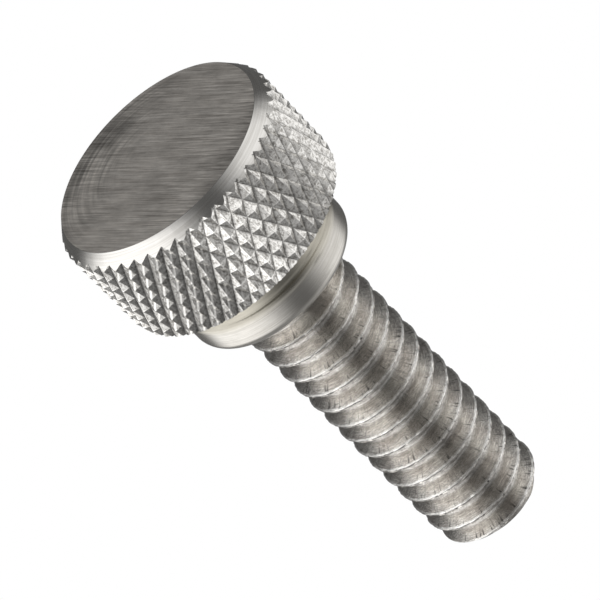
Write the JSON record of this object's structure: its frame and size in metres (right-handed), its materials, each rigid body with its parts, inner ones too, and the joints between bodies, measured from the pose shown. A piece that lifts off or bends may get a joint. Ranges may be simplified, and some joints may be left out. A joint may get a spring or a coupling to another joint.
{
  "type": "thumb screw",
  "caption": "Thumb screw with a diamond-knurled round head, a rounded collar under it and a coarse threaded shank with a chamfered tip.",
  "frame": {"origin": "centre of the head's flat end, on which the screw stands", "axes": "+Z along the screw's axis, from the head to the tip of the thread"},
  "size_m": [0.013, 0.013, 0.0285],
  "materials": {
    "steel": "turned stainless steel, satin"
  },
  "bodies": {
    "root": {"thumb_screw": "steel"}
  },
  "joints": []
}
